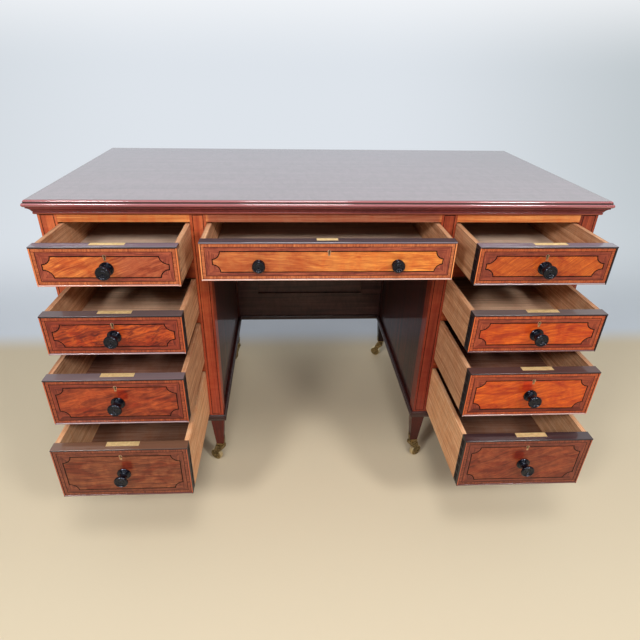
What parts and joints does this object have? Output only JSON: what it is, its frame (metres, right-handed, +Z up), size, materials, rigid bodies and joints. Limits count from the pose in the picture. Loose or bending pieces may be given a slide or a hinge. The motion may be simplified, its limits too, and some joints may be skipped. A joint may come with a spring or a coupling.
{
  "type": "pedestal writing desk",
  "caption": "Inlaid pedestal writing desk with a moulded top, graduated drawers, turned knobs and tapered legs on brass castors.",
  "frame": {"origin": "on the floor, below the middle of the desk with its drawers open as at rest", "axes": "+X along the desk to its right-hand pedestal, -Y towards the sitter, +Z up"},
  "size_m": [1.262, 0.8924, 0.7668],
  "materials": {
    "top_mahogany": "french polished, glossy",
    "moulding_mahogany": "french polished, glossy",
    "post_mahogany": "french polished, satin",
    "panel_mahogany": "french polished, satin",
    "rail_satinwood": "french polished, satin",
    "front_satinwood": "inlaid and french polished",
    "drawer_lining": "planed, unpolished",
    "ebonised_wood": "ebonised, glossy",
    "lock_brass": "brushed",
    "aged_brass": "aged"
  },
  "bodies": {
    "desk": {"desk_top": "top_mahogany", "cornice_moulding": "moulding_mahogany", "posts": "post_mahogany", "side_panels": "panel_mahogany", "back_panels": "panel_mahogany", "drawer_frames": "rail_satinwood", "base_moulding": "ebonised_wood", "castor_plates": "aged_brass"},
    "left_drawer_1": {"left_drawer_1_front": "front_satinwood", "left_drawer_1_box": "drawer_lining", "left_drawer_1_knobs": "ebonised_wood", "left_drawer_1_lock": "lock_brass"},
    "left_drawer_2": {"left_drawer_2_front": "front_satinwood", "left_drawer_2_box": "drawer_lining", "left_drawer_2_knobs": "ebonised_wood", "left_drawer_2_lock": "lock_brass"},
    "left_drawer_3": {"left_drawer_3_front": "front_satinwood", "left_drawer_3_box": "drawer_lining", "left_drawer_3_knobs": "ebonised_wood", "left_drawer_3_lock": "lock_brass"},
    "left_drawer_4": {"left_drawer_4_front": "front_satinwood", "left_drawer_4_box": "drawer_lining", "left_drawer_4_knobs": "ebonised_wood", "left_drawer_4_lock": "lock_brass"},
    "right_drawer_1": {"right_drawer_1_front": "front_satinwood", "right_drawer_1_box": "drawer_lining", "right_drawer_1_knobs": "ebonised_wood", "right_drawer_1_lock": "lock_brass"},
    "right_drawer_2": {"right_drawer_2_front": "front_satinwood", "right_drawer_2_box": "drawer_lining", "right_drawer_2_knobs": "ebonised_wood", "right_drawer_2_lock": "lock_brass"},
    "right_drawer_3": {"right_drawer_3_front": "front_satinwood", "right_drawer_3_box": "drawer_lining", "right_drawer_3_knobs": "ebonised_wood", "right_drawer_3_lock": "lock_brass"},
    "right_drawer_4": {"right_drawer_4_front": "front_satinwood", "right_drawer_4_box": "drawer_lining", "right_drawer_4_knobs": "ebonised_wood", "right_drawer_4_lock": "lock_brass"},
    "centre_drawer": {"centre_drawer_front": "front_satinwood", "centre_drawer_box": "drawer_lining", "centre_drawer_knobs": "ebonised_wood", "centre_drawer_lock": "lock_brass"},
    "front_left_outer_horn": {"front_left_outer_horn": "aged_brass"},
    "front_left_outer_wheel": {"front_left_outer_wheel": "aged_brass"},
    "front_left_inner_horn": {"front_left_inner_horn": "aged_brass"},
    "front_left_inner_wheel": {"front_left_inner_wheel": "aged_brass"},
    "front_right_outer_horn": {"front_right_outer_horn": "aged_brass"},
    "front_right_outer_wheel": {"front_right_outer_wheel": "aged_brass"},
    "front_right_inner_horn": {"front_right_inner_horn": "aged_brass"},
    "front_right_inner_wheel": {"front_right_inner_wheel": "aged_brass"},
    "rear_left_outer_horn": {"rear_left_outer_horn": "aged_brass"},
    "rear_left_outer_wheel": {"rear_left_outer_wheel": "aged_brass"},
    "rear_left_inner_horn": {"rear_left_inner_horn": "aged_brass"},
    "rear_left_inner_wheel": {"rear_left_inner_wheel": "aged_brass"},
    "rear_right_outer_horn": {"rear_right_outer_horn": "aged_brass"},
    "rear_right_outer_wheel": {"rear_right_outer_wheel": "aged_brass"},
    "rear_right_inner_horn": {"rear_right_inner_horn": "aged_brass"},
    "rear_right_inner_wheel": {"rear_right_inner_wheel": "aged_brass"}
  },
  "joints": [
    {"name": "left_drawer_1_slide", "type": "slide", "parent": "desk", "child": "left_drawer_1", "axis": [0, -1, 0], "range_m": [-0.1465, 0.2535]},
    {"name": "left_drawer_2_slide", "type": "slide", "parent": "desk", "child": "left_drawer_2", "axis": [0, -1, 0], "range_m": [-0.1758, 0.2242]},
    {"name": "left_drawer_3_slide", "type": "slide", "parent": "desk", "child": "left_drawer_3", "axis": [0, -1, 0], "range_m": [-0.2262, 0.1738]},
    {"name": "left_drawer_4_slide", "type": "slide", "parent": "desk", "child": "left_drawer_4", "axis": [0, -1, 0], "range_m": [-0.2721, 0.1279]},
    {"name": "right_drawer_1_slide", "type": "slide", "parent": "desk", "child": "right_drawer_1", "axis": [0, -1, 0], "range_m": [-0.15, 0.25]},
    {"name": "right_drawer_2_slide", "type": "slide", "parent": "desk", "child": "right_drawer_2", "axis": [0, -1, 0], "range_m": [-0.1853, 0.2147]},
    {"name": "right_drawer_3_slide", "type": "slide", "parent": "desk", "child": "right_drawer_3", "axis": [0, -1, 0], "range_m": [-0.2235, 0.1765]},
    {"name": "right_drawer_4_slide", "type": "slide", "parent": "desk", "child": "right_drawer_4", "axis": [0, -1, 0], "range_m": [-0.2696, 0.1304]},
    {"name": "centre_drawer_slide", "type": "slide", "parent": "desk", "child": "centre_drawer", "axis": [0, -1, 0], "range_m": [-0.1219, 0.2781]},
    {"name": "front_left_outer_swivel", "type": "hinge", "parent": "desk", "child": "front_left_outer_horn", "pos_m": [-0.59245, -0.1273, 0.0706], "axis": [0, 0, 1], "continuous": true},
    {"name": "front_left_outer_roll", "type": "hinge", "parent": "front_left_outer_horn", "child": "front_left_outer_wheel", "pos_m": [-0.59963, -0.11189, 0.017], "axis": [-0.9063, -0.4226, 0], "continuous": true},
    {"name": "front_left_inner_swivel", "type": "hinge", "parent": "desk", "child": "front_left_inner_horn", "pos_m": [-0.2757, -0.12955, 0.0706], "axis": [0, 0, 1], "continuous": true},
    {"name": "front_left_inner_roll", "type": "hinge", "parent": "front_left_inner_horn", "child": "front_left_inner_wheel", "pos_m": [-0.29042, -0.12105, 0.017], "axis": [-0.5, -0.866, 0], "continuous": true},
    {"name": "front_right_outer_swivel", "type": "hinge", "parent": "desk", "child": "front_right_outer_horn", "pos_m": [0.59245, -0.1273, 0.0706], "axis": [0, 0, 1], "continuous": true},
    {"name": "front_right_outer_roll", "type": "hinge", "parent": "front_right_outer_horn", "child": "front_right_outer_wheel", "pos_m": [0.60095, -0.11258, 0.017], "axis": [-0.866, 0.5, 0], "continuous": true},
    {"name": "front_right_inner_swivel", "type": "hinge", "parent": "desk", "child": "front_right_inner_horn", "pos_m": [0.2757, -0.12955, 0.0706], "axis": [0, 0, 1], "continuous": true},
    {"name": "front_right_inner_roll", "type": "hinge", "parent": "front_right_inner_horn", "child": "front_right_inner_wheel", "pos_m": [0.29071, -0.12157, 0.017], "axis": [-0.4695, 0.8829, 0], "continuous": true},
    {"name": "rear_left_outer_swivel", "type": "hinge", "parent": "desk", "child": "rear_left_outer_horn", "pos_m": [-0.59245, 0.4076, 0.0706], "axis": [0, 0, 1], "continuous": true},
    {"name": "rear_left_outer_roll", "type": "hinge", "parent": "rear_left_outer_horn", "child": "rear_left_outer_wheel", "pos_m": [-0.60547, 0.41853, 0.017], "axis": [-0.6428, -0.766, 0], "continuous": true},
    {"name": "rear_left_inner_swivel", "type": "hinge", "parent": "desk", "child": "rear_left_inner_horn", "pos_m": [-0.2757, 0.40985, 0.0706], "axis": [0, 0, 1], "continuous": true},
    {"name": "rear_left_inner_roll", "type": "hinge", "parent": "rear_left_inner_horn", "child": "rear_left_inner_wheel", "pos_m": [-0.28545, 0.39592, 0.017], "axis": [0.8192, -0.5736, 0], "continuous": true},
    {"name": "rear_right_outer_swivel", "type": "hinge", "parent": "desk", "child": "rear_right_outer_horn", "pos_m": [0.59245, 0.4076, 0.0706], "axis": [0, 0, 1], "continuous": true},
    {"name": "rear_right_outer_roll", "type": "hinge", "parent": "rear_right_outer_horn", "child": "rear_right_outer_wheel", "pos_m": [0.60547, 0.39667, 0.017], "axis": [0.6428, 0.766, 0], "continuous": true},
    {"name": "rear_right_inner_swivel", "type": "hinge", "parent": "desk", "child": "rear_right_inner_horn", "pos_m": [0.2757, 0.40985, 0.0706], "axis": [0, 0, 1], "continuous": true},
    {"name": "rear_right_inner_roll", "type": "hinge", "parent": "rear_right_inner_horn", "child": "rear_right_inner_wheel", "pos_m": [0.26098, 0.41835, 0.017], "axis": [-0.5, -0.866, 0], "continuous": true}
  ]
}
